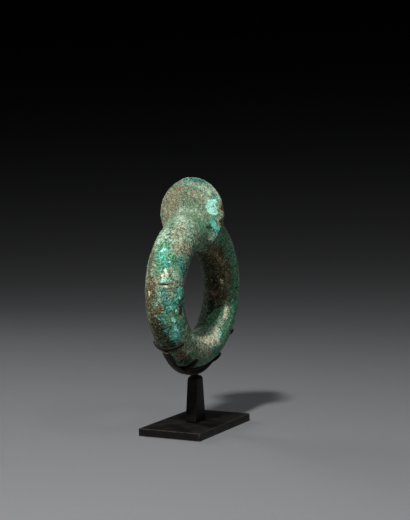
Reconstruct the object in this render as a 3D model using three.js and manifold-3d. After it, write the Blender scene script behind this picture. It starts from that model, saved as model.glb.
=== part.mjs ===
// A heavy cast bronze bracelet with an open ring and two large disc ends, held upright in its display stand.
// The stand is a flat plate, a tapered post, and a bent strip with four claws that cup the ring's lowest part.
// A leather liner between the two middle claws keeps the bronze off the strip.
// Millimetres, +Z up. The origin is the middle of the plate's underside. The ring stands in the XZ plane, and
// its chipped side and the claws' longer tips face -Y, the front.

import * as THREE from "three";
import Module from "manifold-3d";
import { mergeVertices } from "three/addons/utils/BufferGeometryUtils.js";

// Bracelet: the opening for the wrist, the thickness of the limbs, and the two disc ends
const openingWidth = 62;
const openingHeight = 58.4;
const limbThickness = 27; // at the widest part of the ring
const limbSwell = 1.5; // the limbs are this much thicker at the discs, and thinner at the foot
const discStep = 0.5; // from the limbs' inner line up to the lowest point of the discs
const discGap = 1.2; // between the two discs
const rimThickness = 2.7; // of a disc's edge
const rimRound = 0.6; // how far the edge is worn round
const discRise = 1.4; // how much a disc thickens from its rim to the foot of the fillet
const filletLength = 5; // from the disc's back to the plain limb, along the ring
const filletShare = 0.36; // of the way from the rim to the limb, taken by the fillet
// Each disc's width across the ring, its height, and the broken and worn places of its edge: how deep, where,
// and over what angle to each side. The angles are degrees round the disc, from its front edge upwards.
const leftDisc = {
  width: 50,
  height: 51.8,
  losses: [
    { depth: 1.3, at: 10, over: 11 },
    { depth: 1.8, at: -11, over: 11 },
    { depth: 0.4, at: 130, over: 28 },
  ],
};
const rightDisc = {
  width: 46.4,
  height: 49.6,
  losses: [{ depth: 0.6, at: -4, over: 10 }],
};

// Display stand
const plateLength = 82; // along the ring
const plateWidth = 48;
const plateThickness = 5.4;
const plateChamfer = 0.35;
const postHeight = 33.6;
const postFootLength = 15.8; // along the ring
const postFootWidth = 8.5;
const postTopLength = 9; // before the shoulders are rounded
const postTopWidth = 7.7;
const postShoulderAlong = 3.7; // radius of the rounded top, seen along Y
const postShoulderAcross = 3; // and seen along X
const stripWidth = 4.8;
const stripThickness = 1.9;
const stripDrop = 3.1; // from the bottom of the ring down to the strip's inner face
const stripEndDrop = 1.2; // the same, at the strip's two ends
const linerWidth = 4.2; // of the leather liner that lies on the strip between the two middle claws
const clawWidth = 3.0; // along the ring
const clawTipWidth = 2.6;
const endClawThickness = 1.2;
const clawTipThickness = 1.1;
const clawReach = 58; // degrees round the limb, from its outermost line to the claw's tip
const endClawAngle = 49.5; // degrees, from the bottom of the ring
const midClawAngle = 20.5;
const clearance = 0.3; // left between pieces that touch

// How finely the curved pieces are cut into flat faces
const limbSides = 36;
const ringSteps = 58;
const filletSteps = 4;
const stripSteps = 26;
const linerSteps = 10;
const clawSteps = 14;
const shoulderSteps = 5;

const bronze = new THREE.MeshStandardMaterial({ color: 0x4f8a74, roughness: 0.85, metalness: 0.2 });
const blackenedBrass = new THREE.MeshStandardMaterial({ color: 0x1c1816, roughness: 0.45, metalness: 0.8 });
const darkLeather = new THREE.MeshStandardMaterial({ color: 0x1f1611, roughness: 0.8, metalness: 0 });
const brownPlate = new THREE.MeshStandardMaterial({ color: 0x2b2420, roughness: 0.55, metalness: 0.7 });

const rad = THREE.MathUtils.degToRad;
const side = new THREE.Vector3(0, -1, 0); // towards the front

// The ring's centreline is an ellipse. Angles go round it from +X, so the top is at 90 degrees.
const ringHalfWidth = (openingWidth + limbThickness) / 2;
const ringHalfHeight = (openingHeight + limbThickness) / 2;
const limbRadius = (angle) => (limbThickness + limbSwell * Math.sin(angle)) / 2;
const bottom = -Math.PI / 2;
const stripFootZ = plateThickness + postHeight + clearance; // the strip's lowest point
const ringCentreZ = stripFootZ + stripThickness + stripDrop + limbRadius(bottom) + ringHalfHeight;

// The strip is bent a little tighter than the ring, and its ends stop at the sides of the two end claws.
const endClawRadius = ringHalfWidth + limbThickness / 2;
const stripHalfAngle = rad(endClawAngle) - (clawWidth / 2 + clearance) / endClawRadius;
const stripGap = (angle) => {
  const share = ((angle - bottom) / stripHalfAngle) ** 2;
  return THREE.MathUtils.lerp(stripDrop, stripEndDrop, share);
};

// The liner fills the gap over the post, and its ends stop at the sides of the two middle claws.
const linerHalfAngle = rad(midClawAngle) - (clawWidth / 2 + clearance) / endClawRadius;

function ringFrame(angle) {
  const c = Math.cos(angle);
  const s = Math.sin(angle);
  return {
    centre: new THREE.Vector3(ringHalfWidth * c, 0, ringCentreZ + ringHalfHeight * s),
    outward: new THREE.Vector3(ringHalfHeight * c, 0, ringHalfWidth * s).normalize(),
    along: new THREE.Vector3(-ringHalfWidth * s, 0, ringHalfHeight * c).normalize(),
  };
}

// Turns rows of points, each row a closed loop, into one closed surface with its two ends filled.
function skin(rows) {
  const count = rows[0].length;
  const positions = [];
  const index = [];
  for (const row of rows) {
    for (const p of row) {
      positions.push(p.x, p.y, p.z);
    }
  }
  for (let r = 0; r < rows.length - 1; r += 1) {
    for (let k = 0; k < count; k += 1) {
      const a = r * count + k;
      const b = r * count + ((k + 1) % count);
      index.push(a, b, b + count, a, b + count, a + count);
    }
  }
  const ends = [
    { row: rows[0], start: 0, flip: true },
    { row: rows[rows.length - 1], start: (rows.length - 1) * count, flip: false },
  ];
  for (const end of ends) {
    const middle = positions.length / 3;
    const sum = end.row.reduce((total, p) => total.add(p), new THREE.Vector3()).divideScalar(count);
    positions.push(sum.x, sum.y, sum.z);
    for (let k = 0; k < count; k += 1) {
      const a = end.start + k;
      const b = end.start + ((k + 1) % count);
      index.push(...(end.flip ? [b, a, middle] : [a, b, middle]));
    }
  }
  const geometry = new THREE.BufferGeometry();
  geometry.setAttribute("position", new THREE.Float32BufferAttribute(positions, 3));
  geometry.setIndex(index);
  geometry.computeVertexNormals();
  return geometry;
}

// How much of a disc's edge is lost at an angle: each place is deepest at its middle and runs out smoothly.
function lossAt(losses, angle) {
  let lost = 0;
  for (const { depth, at, over } of losses) {
    const apart = THREE.MathUtils.euclideanModulo(angle - rad(at) + Math.PI, 2 * Math.PI) - Math.PI;
    const t = Math.abs(apart) / rad(over);
    lost += t < 1 ? (depth * (1 + Math.cos(Math.PI * t))) / 2 : 0;
  }
  return lost;
}

// The loops of one disc end, from the face at the gap back to the plain limb. Sign is -1 for the left disc.
function discRows(sign, { width, height, losses }) {
  const faceX = discGap / 2;
  const backX = faceX + rimThickness;
  const limbX = backX + discRise + filletLength;
  const limbAngle = Math.PI / 2 - sign * Math.asin(limbX / ringHalfWidth);
  const limb = ringFrame(limbAngle);
  const innerLineZ = ringCentreZ + ringHalfHeight - limbRadius(Math.PI / 2);
  const discCentreZ = innerLineZ + discStep + height / 2;

  const limbPoint = (k) => {
    const angle = (2 * Math.PI * k) / limbSides;
    const radius = limbRadius(limbAngle);
    return limb.centre
      .clone()
      .addScaledVector(side, radius * Math.cos(angle))
      .addScaledVector(limb.outward, radius * Math.sin(angle));
  };
  // A point of the whole edge, moved inwards on its line to the limb by a share of the way.
  const pointOnLine = (k, x, inset, inward) => {
    const angle = (2 * Math.PI * k) / limbSides;
    const end = limbPoint(k);
    const edgeY = -(width / 2 - inset) * Math.cos(angle);
    const edgeZ = discCentreZ + (height / 2 - inset) * Math.sin(angle);
    const y = THREE.MathUtils.lerp(edgeY, end.y, inward);
    const z = THREE.MathUtils.lerp(edgeZ, end.z, inward);
    return new THREE.Vector3(x, y, z);
  };
  // The share of that line which is lost with the broken edge.
  const lostShare = (k) => {
    const whole = pointOnLine(k, 0, 0, 0);
    const length = whole.distanceTo(pointOnLine(k, 0, 0, 1));
    return lossAt(losses, (2 * Math.PI * k) / limbSides) / length;
  };
  const rimPoint = (k, x, inset) => pointOnLine(k, sign * x, inset, lostShare(k));
  const loop = (point) => Array.from({ length: limbSides }, (_, k) => point(k));

  const rows = [
    loop((k) => rimPoint(k, faceX, rimRound)),
    loop((k) => rimPoint(k, faceX + rimRound, 0)),
    loop((k) => rimPoint(k, backX - rimRound, 0)),
    loop((k) => rimPoint(k, backX, rimRound)),
  ];
  // The back of the disc rises gently to the foot of the fillet, which then turns into the limb. A broken
  // edge is cut out of that same back, so a point's height depends on how far along its line it lies.
  const foot = 1 - filletShare;
  const backPoint = (k, share) => {
    const lost = lostShare(k);
    const inward = lost + (1 - lost) * share;
    const risen = sign * (backX + discRise * Math.min(1, inward / foot));
    const intoFillet = Math.max(0, inward - foot) / filletShare;
    const turned = 1 - Math.sqrt(Math.max(0, 1 - intoFillet * intoFillet));
    return pointOnLine(k, THREE.MathUtils.lerp(risen, limbPoint(k).x, turned), rimRound, inward);
  };
  for (const share of [foot / 2, foot]) {
    rows.push(loop((k) => backPoint(k, share)));
  }
  for (let step = 1; step <= filletSteps; step += 1) {
    const quarter = ((step / filletSteps) * Math.PI) / 2;
    rows.push(loop((k) => backPoint(k, foot + filletShare * Math.sin(quarter))));
  }
  return { rows, limbAngle };
}

function braceletGeometry() {
  const left = discRows(-1, leftDisc);
  const right = discRows(1, rightDisc);
  const from = left.limbAngle;
  const to = right.limbAngle + 2 * Math.PI;
  const limbRows = [];
  for (let step = 1; step < ringSteps; step += 1) {
    const angle = THREE.MathUtils.lerp(from, to, step / ringSteps);
    const { centre, outward } = ringFrame(angle);
    const radius = limbRadius(angle);
    limbRows.push(
      Array.from({ length: limbSides }, (_, k) => {
        const turn = (2 * Math.PI * k) / limbSides;
        return centre
          .clone()
          .addScaledVector(side, radius * Math.cos(turn))
          .addScaledVector(outward, radius * Math.sin(turn));
      }),
    );
  }
  return skin([...left.rows, ...limbRows, ...right.rows.reverse()]);
}

// A flat bar bent along a path. Each station has its place on the bar's inner face, the directions out of
// that face and across the bar, and the bar's width and thickness there.
function bentBar(stations) {
  return skin(
    stations.map(({ place, out, across, width, thickness }) => {
      const corner = (u, v) =>
        place
          .clone()
          .addScaledVector(across, (u * width) / 2)
          .addScaledVector(out, v * thickness);
      return [corner(-1, 0), corner(1, 0), corner(1, 1), corner(-1, 1)];
    }),
  );
}

function stripGeometry() {
  const stations = [];
  for (let step = 0; step <= stripSteps; step += 1) {
    const angle = bottom + stripHalfAngle * ((2 * step) / stripSteps - 1);
    const { centre, outward } = ringFrame(angle);
    stations.push({
      place: centre.addScaledVector(outward, limbRadius(angle) + stripGap(angle)),
      out: outward,
      across: side,
      width: stripWidth,
      thickness: stripThickness,
    });
  }
  return bentBar(stations);
}

function linerGeometry() {
  const stations = [];
  for (let step = 0; step <= linerSteps; step += 1) {
    const angle = bottom + linerHalfAngle * ((2 * step) / linerSteps - 1);
    const { centre, outward } = ringFrame(angle);
    stations.push({
      place: centre.addScaledVector(outward, limbRadius(angle) + clearance),
      out: outward,
      across: side,
      width: linerWidth,
      thickness: stripGap(angle) - 2 * clearance,
    });
  }
  return bentBar(stations);
}

// One claw, a bar bent round the outer half of the limb at an angle from the bottom of the ring.
function clawGeometry(degrees, thickness) {
  const { centre, outward, along } = ringFrame(bottom + rad(degrees));
  const radius = limbRadius(bottom + rad(degrees)) + clearance;
  const stations = [];
  for (let step = 0; step <= clawSteps; step += 1) {
    const t = (2 * step) / clawSteps - 1;
    const turn = rad(clawReach) * t;
    const out = outward.clone().multiplyScalar(Math.cos(turn)).addScaledVector(side, Math.sin(turn));
    const narrowing = t ** 4; // only the last stretch before each tip thins
    stations.push({
      place: centre.clone().addScaledVector(out, radius),
      out,
      across: along.clone().negate(),
      width: THREE.MathUtils.lerp(clawWidth, clawTipWidth, narrowing),
      thickness: THREE.MathUtils.lerp(thickness, clawTipThickness, narrowing),
    });
  }
  return bentBar(stations);
}

function plateGeometry() {
  const x = plateLength / 2 - plateChamfer;
  const y = plateWidth / 2 - plateChamfer;
  const outline = new THREE.Shape([
    new THREE.Vector2(-x, -y),
    new THREE.Vector2(x, -y),
    new THREE.Vector2(x, y),
    new THREE.Vector2(-x, y),
  ]);
  const geometry = new THREE.ExtrudeGeometry(outline, {
    depth: plateThickness - 2 * plateChamfer,
    bevelThickness: plateChamfer,
    bevelSize: plateChamfer,
    bevelSegments: 1,
  });
  return geometry.translate(0, 0, plateChamfer);
}

// The post is what two outlines share: its tapered side with rounded shoulders, seen along Y and along X.
function postOutline(footLength, topLength, shoulder) {
  const outline = new THREE.Shape();
  const taperAngle = Math.atan((footLength - topLength) / 2 / postHeight);
  const centreX = topLength / 2 + Math.tan(taperAngle) * shoulder - shoulder / Math.cos(taperAngle);
  const centreY = postHeight - shoulder;
  outline.moveTo(-footLength / 2, 0);
  outline.lineTo(footLength / 2, 0);
  outline.absarc(centreX, centreY, shoulder, taperAngle, Math.PI / 2, false);
  outline.absarc(-centreX, centreY, shoulder, Math.PI / 2, Math.PI - taperAngle, false);
  return outline;
}

async function postGeometry() {
  const wasm = await Module();
  wasm.setup();
  const solid = (geometry) => {
    const bare = geometry.clone();
    bare.deleteAttribute("normal");
    bare.deleteAttribute("uv");
    const merged = mergeVertices(bare, 1e-4);
    return new wasm.Manifold(
      new wasm.Mesh({
        numProp: 3,
        vertProperties: new Float32Array(merged.attributes.position.array),
        triVerts: new Uint32Array(merged.index.array),
      }),
    );
  };
  const depth = 2 * Math.max(postFootLength, postFootWidth);
  const slab = (foot, top, shoulder) =>
    new THREE.ExtrudeGeometry(postOutline(foot, top, shoulder), {
      depth,
      bevelEnabled: false,
      curveSegments: shoulderSteps,
    })
      .translate(0, 0, -depth / 2)
      .rotateX(Math.PI / 2);
  const alongRing = slab(postFootLength, postTopLength, postShoulderAlong);
  const acrossRing = slab(postFootWidth, postTopWidth, postShoulderAcross).rotateZ(Math.PI / 2);
  const mesh = solid(alongRing).intersect(solid(acrossRing)).getMesh();
  const geometry = new THREE.BufferGeometry();
  geometry.setAttribute("position", new THREE.Float32BufferAttribute(mesh.vertProperties, 3));
  geometry.setIndex(Array.from(mesh.triVerts));
  geometry.computeVertexNormals();
  return geometry;
}

const display = new THREE.Group();
function place(name, geometry, material, z = 0) {
  const mesh = new THREE.Mesh(geometry, material);
  mesh.name = name;
  mesh.position.z = z;
  display.add(mesh);
}

place("bracelet", braceletGeometry(), bronze);
place("cradle_strip", stripGeometry(), blackenedBrass);
place("cradle_liner", linerGeometry(), darkLeather);
// The middle claws fill the gap between the ring and the strip.
const midClawThickness = stripGap(bottom + rad(midClawAngle)) - 2 * clearance;
place("claw_left_end", clawGeometry(-endClawAngle, endClawThickness), blackenedBrass);
place("claw_left_mid", clawGeometry(-midClawAngle, midClawThickness), blackenedBrass);
place("claw_right_mid", clawGeometry(midClawAngle, midClawThickness), blackenedBrass);
place("claw_right_end", clawGeometry(endClawAngle, endClawThickness), blackenedBrass);
place("post", await postGeometry(), blackenedBrass, plateThickness);
place("base_plate", plateGeometry(), brownPlate);

export default display;
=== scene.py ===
# A heavy cast bronze bracelet, an open ring with two disc ends, held upright in its display stand.
# Metres, +Z up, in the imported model's frame. -X is the near end in the main view, and -Y is the front.

import math

import bmesh
import bpy
import numpy as np
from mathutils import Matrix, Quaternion, Vector, noise


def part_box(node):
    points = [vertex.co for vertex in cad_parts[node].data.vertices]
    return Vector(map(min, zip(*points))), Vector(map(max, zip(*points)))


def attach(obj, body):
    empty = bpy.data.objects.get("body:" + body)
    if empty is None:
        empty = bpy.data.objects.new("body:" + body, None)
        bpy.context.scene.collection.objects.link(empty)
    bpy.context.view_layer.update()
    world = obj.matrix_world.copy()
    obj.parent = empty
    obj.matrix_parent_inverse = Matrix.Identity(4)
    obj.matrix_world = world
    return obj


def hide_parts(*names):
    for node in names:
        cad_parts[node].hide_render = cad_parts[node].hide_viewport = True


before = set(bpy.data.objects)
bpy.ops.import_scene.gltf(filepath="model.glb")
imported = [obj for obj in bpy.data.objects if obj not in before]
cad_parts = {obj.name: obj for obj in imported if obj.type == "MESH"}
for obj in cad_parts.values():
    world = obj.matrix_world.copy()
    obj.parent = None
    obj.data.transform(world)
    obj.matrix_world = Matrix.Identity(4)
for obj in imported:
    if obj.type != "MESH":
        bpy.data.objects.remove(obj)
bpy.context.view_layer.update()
mm = 0.001


# Base plate
# A sawn rectangle of brass, patinated dark brown. Its edges are broken with a file, and handling has rubbed
# them lighter. It carries the post, which is screwed on from below.

plate_low, plate_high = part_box("base_plate")
plate_edge_round = 0.3 * mm
plate_sag = 0.04 * mm  # how far the top is from flat
plate_brown = (0.0036, 0.0031, 0.0029, 1)
plate_reddish = (0.0095, 0.0066, 0.0052, 1)
plate_rubbed = (0.110, 0.080, 0.060, 1)
plate_black = (0.004, 0.0035, 0.0035, 1)
plate_dust = (0.20, 0.18, 0.15, 1)


def add_node(tree, kind, inputs=None, **settings):
    """Adds a shader node. Its inputs go by name or number, each with a value or another node's output."""
    made = tree.nodes.new("ShaderNode" + kind)
    for key, value in settings.items():
        setattr(made, key, value)
    for key, value in (inputs or {}).items():
        if isinstance(value, bpy.types.NodeSocket):
            tree.links.new(value, made.inputs[key])
        else:
            made.inputs[key].default_value = value
    return made


def math_of(tree, operation, first, second=0.0):
    return add_node(tree, "Math", {0: first, 1: second}, operation=operation).outputs[0]


def ramp(tree, value, low, high, to_low=0.0, to_high=1.0):
    """A smooth step from one value to another while the input goes from low to high."""
    inputs = {"Value": value, "From Min": low, "From Max": high, "To Min": to_low, "To Max": to_high}
    return add_node(tree, "MapRange", inputs, interpolation_type="SMOOTHSTEP").outputs["Result"]


def layer(tree, mask, under, over, way="MIX"):
    """Lays one colour over another where the mask is 1."""
    inputs = {0: mask, 6: under, 7: over}
    return add_node(tree, "Mix", inputs, data_type="RGBA", blend_type=way).outputs[2]


def new_group(name, inputs, outputs):
    tree = bpy.data.node_groups.new(name, "ShaderNodeTree")
    for socket_name, kind, start in inputs:
        socket = tree.interface.new_socket(socket_name, in_out="INPUT", socket_type=kind)
        if start is not None:
            socket.default_value = start
    for socket_name, kind in outputs:
        tree.interface.new_socket(socket_name, in_out="OUTPUT", socket_type=kind)
    return tree, tree.nodes.new("NodeGroupInput").outputs, tree.nodes.new("NodeGroupOutput").inputs


def use_group(tree, group, inputs):
    placed = add_node(tree, "Group", node_tree=group)
    for key, value in inputs.items():
        if isinstance(value, bpy.types.NodeSocket):
            tree.links.new(value, placed.inputs[key])
        else:
            placed.inputs[key].default_value = value
    return placed.outputs


def make_ragged_patches():
    """Patches where noise plus a place's favour passes the level. Break is how far flecks cross the edge."""
    tree, given, result = new_group(
        "ragged_patches",
        [
            ("Place", "NodeSocketVector", None),
            ("Size", "NodeSocketFloat", 5.0),
            ("Favour", "NodeSocketFloat", 0.0),
            ("Level", "NodeSocketFloat", 0.6),
            ("Edge", "NodeSocketFloat", 0.04),
            ("Break", "NodeSocketFloat", 0.0),
            ("Variety", "NodeSocketFloat", 0.0),
        ],
        [("Mask", "NodeSocketFloat")],
    )
    scale = math_of(tree, "DIVIDE", 1.0, given["Size"])
    cloud_inputs = {
        "Vector": given["Place"],
        "W": given["Variety"],
        "Scale": scale,
        "Detail": 6.0,
        "Roughness": 0.62,
        "Distortion": 0.25,
    }
    cloud = add_node(tree, "TexNoise", cloud_inputs, noise_dimensions="4D").outputs[0]
    fleck_inputs = {
        "Vector": given["Place"],
        "W": math_of(tree, "ADD", given["Variety"], 50.0),
        "Scale": 1.0,
        "Detail": 2.0,
        "Roughness": 0.8,
    }
    flecks = add_node(tree, "TexNoise", fleck_inputs, noise_dimensions="4D").outputs[0]
    crossing = math_of(tree, "MULTIPLY", math_of(tree, "SUBTRACT", flecks, 0.5), given["Break"])
    favoured = math_of(tree, "ADD", math_of(tree, "ADD", cloud, given["Favour"]), crossing)
    low = math_of(tree, "SUBTRACT", given["Level"], given["Edge"])
    high = math_of(tree, "ADD", given["Level"], given["Edge"])
    tree.links.new(ramp(tree, favoured, low, high), result["Mask"])
    return tree


def make_fine_grain():
    """Fine light and dark grain, from 0 to 1 around 0.5, and sparse dark specks."""
    tree, given, result = new_group(
        "fine_grain",
        [
            ("Place", "NodeSocketVector", None),
            ("Size", "NodeSocketFloat", 0.6),
            ("Variety", "NodeSocketFloat", 0.0),
        ],
        [("Grain", "NodeSocketFloat"), ("Specks", "NodeSocketFloat")],
    )
    scale = math_of(tree, "DIVIDE", 1.0, given["Size"])
    grain_inputs = {
        "Vector": given["Place"],
        "W": given["Variety"],
        "Scale": scale,
        "Detail": 3.0,
        "Roughness": 0.75,
    }
    grain = add_node(tree, "TexNoise", grain_inputs, noise_dimensions="4D").outputs[0]
    tree.links.new(ramp(tree, grain, 0.25, 0.75), result["Grain"])
    cells = add_node(
        tree,
        "TexVoronoi",
        {"Vector": given["Place"], "W": given["Variety"], "Scale": math_of(tree, "MULTIPLY", scale, 0.45)},
        voronoi_dimensions="4D",
    ).outputs["Distance"]
    tree.links.new(ramp(tree, cells, 0.20, 0.08), result["Specks"])
    return tree


def make_rubbed_edges():
    """Where handling has rubbed the edges of a metal piece, broken up by noise."""
    tree, given, result = new_group(
        "rubbed_edges",
        [
            ("Place", "NodeSocketVector", None),
            ("Start", "NodeSocketFloat", 0.52),
            ("Full", "NodeSocketFloat", 0.6),
        ],
        [("Mask", "NodeSocketFloat")],
    )
    sharpness = add_node(tree, "NewGeometry").outputs["Pointiness"]
    edge = ramp(tree, sharpness, given["Start"], given["Full"])
    break_inputs = {"Place": given["Place"], "Size": 3.0, "Level": 0.48, "Edge": 0.12}
    breaks = use_group(tree, ragged_patches, break_inputs)["Mask"]
    tree.links.new(math_of(tree, "MULTIPLY", edge, breaks), result["Mask"])
    return tree


def make_settled_dust():
    """A thin film of dust on faces that look up, in clouds."""
    tree, given, result = new_group(
        "settled_dust",
        [("Place", "NodeSocketVector", None), ("Amount", "NodeSocketFloat", 0.5)],
        [("Mask", "NodeSocketFloat")],
    )
    normal = add_node(tree, "NewGeometry").outputs["Normal"]
    up = add_node(tree, "SeparateXYZ", {0: normal}).outputs["Z"]
    cloud_inputs = {"Place": given["Place"], "Size": 9.0, "Level": 0.5, "Edge": 0.22}
    clouds = use_group(tree, ragged_patches, cloud_inputs)["Mask"]
    film = math_of(tree, "MULTIPLY", ramp(tree, up, 0.35, 0.95), clouds)
    tree.links.new(math_of(tree, "MULTIPLY", film, given["Amount"]), result["Mask"])
    return tree


ragged_patches = make_ragged_patches()
fine_grain = make_fine_grain()
rubbed_edges = make_rubbed_edges()
settled_dust = make_settled_dust()


def new_material(name):
    """A material with its Principled shader, and the place on the piece in millimetres."""
    material = bpy.data.materials.new(name)
    material.use_nodes = True
    tree = material.node_tree
    tree.nodes.clear()
    shader = add_node(tree, "BsdfPrincipled")
    end = add_node(tree, "OutputMaterial", {"Surface": shader.outputs[0]})
    end.is_active_output = True
    own_place = add_node(tree, "TexCoord").outputs["Object"]
    per_metre = (1 / mm, 1 / mm, 1 / mm)
    place = add_node(tree, "VectorMath", {0: own_place, 1: per_metre}, operation="MULTIPLY").outputs[0]
    return material, tree, shader, place


def bump(tree, height, distance):
    return add_node(tree, "Bump", {"Height": height, "Distance": distance}).outputs[0]


def make_plate_material():
    material, tree, shader, place = new_material("brown_patinated_plate")
    tone_inputs = {"Place": place, "Size": 11.0, "Level": 0.5, "Edge": 0.15}
    tone = use_group(tree, ragged_patches, tone_inputs)["Mask"]
    colour = layer(tree, tone, plate_brown, plate_reddish)
    grain = use_group(tree, fine_grain, {"Place": place, "Size": 0.8, "Variety": 2.0})
    colour = layer(tree, ramp(tree, grain["Grain"], 0.2, 0.9, 0.0, 0.5), colour, plate_black)
    edge = use_group(tree, rubbed_edges, {"Place": place, "Start": 0.500, "Full": 0.535})["Mask"]
    colour = layer(tree, edge, colour, plate_rubbed)
    dust = use_group(tree, settled_dust, {"Place": place, "Amount": 0.02})["Mask"]
    colour = layer(tree, dust, colour, plate_dust)
    tree.links.new(colour, shader.inputs["Base Color"])
    dusty = math_of(tree, "MULTIPLY", dust, 0.6)
    dull = math_of(tree, "ADD", ramp(tree, tone, 0.0, 1.0, 0.42, 0.56), dusty)
    tree.links.new(dull, shader.inputs["Roughness"])
    shader.inputs["Metallic"].default_value = 0.35
    brushed = add_node(tree, "VectorMath", {0: place, 1: (0.35, 3.0, 3.0)}, operation="MULTIPLY").outputs[0]
    brushing = add_node(tree, "TexNoise", {"Vector": brushed, "Scale": 1.0, "Detail": 3.0}).outputs[0]
    relief = math_of(tree, "ADD", math_of(tree, "MULTIPLY", brushing, 0.6), grain["Grain"])
    tree.links.new(bump(tree, relief, 0.05 * mm), shader.inputs["Normal"])
    return material


def new_piece(name, vertices, faces, material, nodes):
    """A mesh object that stands for CAD nodes, rides on the one body and takes its finish from a slot."""
    mesh = bpy.data.meshes.new(name)
    mesh.from_pydata([tuple(v) for v in vertices], [], faces)
    mesh.validate()
    mesh.polygons.foreach_set("use_smooth", [True] * len(mesh.polygons))
    mesh.materials.append(material)
    piece = bpy.data.objects.new(name, mesh)
    bpy.context.scene.collection.objects.link(piece)
    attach(piece, "root")
    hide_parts(*nodes)
    return piece


def make_plate():
    """A box whose edges are filed round, with its top cut fine enough to be very slightly uneven."""
    form = bmesh.new()
    bmesh.ops.create_cube(form, size=1.0)
    size = plate_high - plate_low
    middle = (plate_high + plate_low) / 2
    for vertex in form.verts:
        vertex.co = Vector(a * b for a, b in zip(vertex.co, size)) + middle
    edges = form.edges[:]
    bmesh.ops.bevel(form, geom=edges, offset=plate_edge_round, segments=4, profile=0.6, affect="EDGES")
    long_edges = [e for e in form.edges if e.calc_length() > 4 * plate_edge_round]
    bmesh.ops.subdivide_edges(form, edges=long_edges, cuts=23, use_grid_fill=True)
    for vertex in form.verts:
        if vertex.co.z > plate_high.z - plate_edge_round / 2:
            dip = noise.noise(vertex.co * 90) - 0.6
            vertex.co.z += min(0.0, plate_sag * dip)
    form.verts.ensure_lookup_table()
    vertices = [v.co.copy() for v in form.verts]
    faces = [[v.index for v in f.verts] for f in form.faces]
    form.free()
    return new_piece("plate", vertices, faces, make_plate_material(), ["base_plate"])


make_plate()


# Post
# A tapered flat bar of brass, filed to a rounded top where the strip is brazed on, and blackened. It is
# nearly black, with a brown tone where the patina is thin and a soft gleam along its arrises.

post_low, post_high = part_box("post")
# Half the length along the ring and half the width at the top, before it is rounded
post_top_half = Vector((4.5 * mm, 3.85 * mm))
post_shoulder = Vector((3.7 * mm, 3.0 * mm))  # the rounding's radius, seen from the front and from the side
post_arris = 0.55 * mm
black_patina = (0.0024, 0.0021, 0.0021, 1)
brown_patina = (0.030, 0.0165, 0.0115, 1)
bare_brass = (0.16, 0.115, 0.075, 1)


def skin(rows):
    """Faces for rows of points, each row a closed loop, with the first and last loops filled."""
    count = len(rows[0])
    faces = []
    for r in range(len(rows) - 1):
        for k in range(count):
            a = r * count + k
            b = r * count + (k + 1) % count
            faces.append((a, b, b + count, a + count))
    faces.append(tuple(reversed(range(count))))
    faces.append(tuple((len(rows) - 1) * count + k for k in range(count)))
    return [p for row in rows for p in row], faces


def rounded_oblong(half_length, half_width, corner, segments=4):
    """The outline of an oblong with rounded corners, from the first axis round to the second."""
    corner = min(corner, half_length * 0.95, half_width * 0.95)
    points = []
    for quarter, (u, v) in enumerate(((1, 1), (-1, 1), (-1, -1), (1, -1))):
        for step in range(segments + 1):
            turn = (quarter + step / segments) * math.pi / 2
            x = u * (half_length - corner) + corner * math.cos(turn)
            y = v * (half_width - corner) + corner * math.sin(turn)
            points.append((x, y))
    return points


def make_brass_material(name, thin_level, worn, variety):
    """Black patina on brass. A lower thin level shows more brown. Worn is how far the edges are rubbed."""
    material, tree, shader, place = new_material(name)
    thin_inputs = {"Place": place, "Size": 4.0, "Level": thin_level, "Edge": 0.14, "Variety": variety}
    thin = use_group(tree, ragged_patches, thin_inputs)["Mask"]
    colour = layer(tree, thin, black_patina, brown_patina)
    grain = use_group(tree, fine_grain, {"Place": place, "Size": 0.5, "Variety": 5.0})
    colour = layer(tree, ramp(tree, grain["Grain"], 0.3, 1.0, 0.0, 0.3), colour, brown_patina)
    edge = use_group(tree, rubbed_edges, {"Place": place, "Start": 0.515, "Full": 0.60})["Mask"]
    colour = layer(tree, math_of(tree, "MULTIPLY", edge, worn), colour, bare_brass)
    dust = use_group(tree, settled_dust, {"Place": place, "Amount": 0.015})["Mask"]
    colour = layer(tree, dust, colour, plate_dust)
    tree.links.new(colour, shader.inputs["Base Color"])
    tree.links.new(ramp(tree, grain["Grain"], 0.0, 1.0, 0.36, 0.54), shader.inputs["Roughness"])
    shader.inputs["Metallic"].default_value = 0.45
    tree.links.new(bump(tree, grain["Grain"], 0.06 * mm), shader.inputs["Normal"])
    return material


def make_post():
    foot_half = (post_high - post_low).xy / 2
    height = post_high.z - post_low.z
    straight = height - max(post_shoulder)
    levels = [straight * step / 14 for step in range(15)]
    levels += [straight + max(post_shoulder) * math.sin(math.pi / 2 * step / 12) for step in range(1, 13)]
    rows = []
    for level in levels:
        halves = []
        for foot, top, shoulder in zip(foot_half, post_top_half, post_shoulder):
            half = foot + (top - foot) * level / height
            into = max(0.0, level - (height - shoulder)) / shoulder
            halves.append(half - shoulder * (1 - math.sqrt(max(0.0, 1 - into * into))))
        outline = rounded_oblong(halves[0], halves[1], post_arris)
        wander = 0.05 * mm * noise.noise(Vector((0, 0, level * 120)))
        rows.append([Vector((x + wander, y, post_low.z + level)) for x, y in outline])
    vertices, faces = skin(rows)
    post_black = make_brass_material("post_black_brass", 0.56, 0.4, 0.0)
    return new_piece("tapered_post", vertices, faces, post_black, ["post"])


make_post()


# Cradle strip and claws
# A flat brass bar bent under the ring, brazed to the post, with four short bars brazed across it. They were
# bent round the ring's limb and filed thin at the tips, then blackened. The ring only rests in them.

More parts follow.
